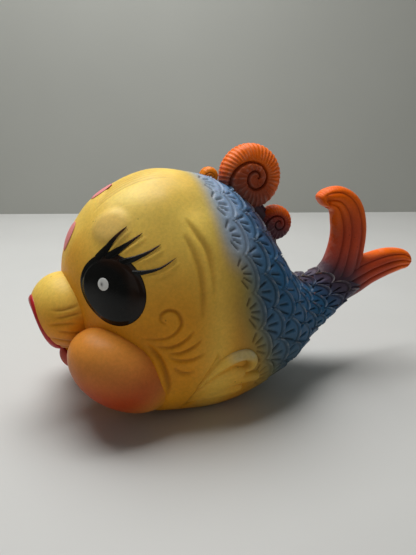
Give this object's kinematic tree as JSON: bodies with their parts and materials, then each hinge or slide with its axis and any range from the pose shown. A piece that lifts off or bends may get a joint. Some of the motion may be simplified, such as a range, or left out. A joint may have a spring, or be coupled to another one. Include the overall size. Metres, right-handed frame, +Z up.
{
  "type": "squeaky bath toy",
  "caption": "Hollow soft vinyl fish squeeze toy with painted face, curled back crest, two-lobed tail and a push-in belly squeaker.",
  "frame": {"origin": "middle of the toy's box, on the surface that its belly rests on", "axes": "-X towards the lips, +X towards the tail, -Y towards the fish's left side, +Z up"},
  "size_m": [0.1708, 0.0812, 0.0964],
  "materials": {
    "vinyl": "satin soft vinyl, sprayed yellow, orange, blue and purple",
    "black_enamel": "gloss enamel",
    "white_enamel": "gloss enamel",
    "red_paint": "satin paint",
    "pink_paint": "satin paint",
    "squeaker_plastic": "plain moulded plastic",
    "reed_brass": "rolled strip"
  },
  "bodies": {
    "fish": {"body_skin": "vinyl", "left_eye": "black_enamel", "right_eye": "black_enamel", "left_glint": "white_enamel", "right_glint": "white_enamel", "left_lashes": "black_enamel", "right_lashes": "black_enamel", "lip_line": "red_paint", "lower_lip_paint": "pink_paint", "forehead_spots": "pink_paint", "squeaker_cup": "squeaker_plastic", "reed_plate": "squeaker_plastic", "reed_clamp": "squeaker_plastic"},
    "reed_tongue": {"reed": "reed_brass"}
  },
  "joints": [
    {"name": "reed_flutter", "type": "hinge", "parent": "fish", "child": "reed_tongue", "pos_m": [-0.02505, 0, 0.00905], "axis": [0, 1, 0], "range_deg": [-4, 4], "stiffness_Nm_per_rad": 0.002}
  ]
}
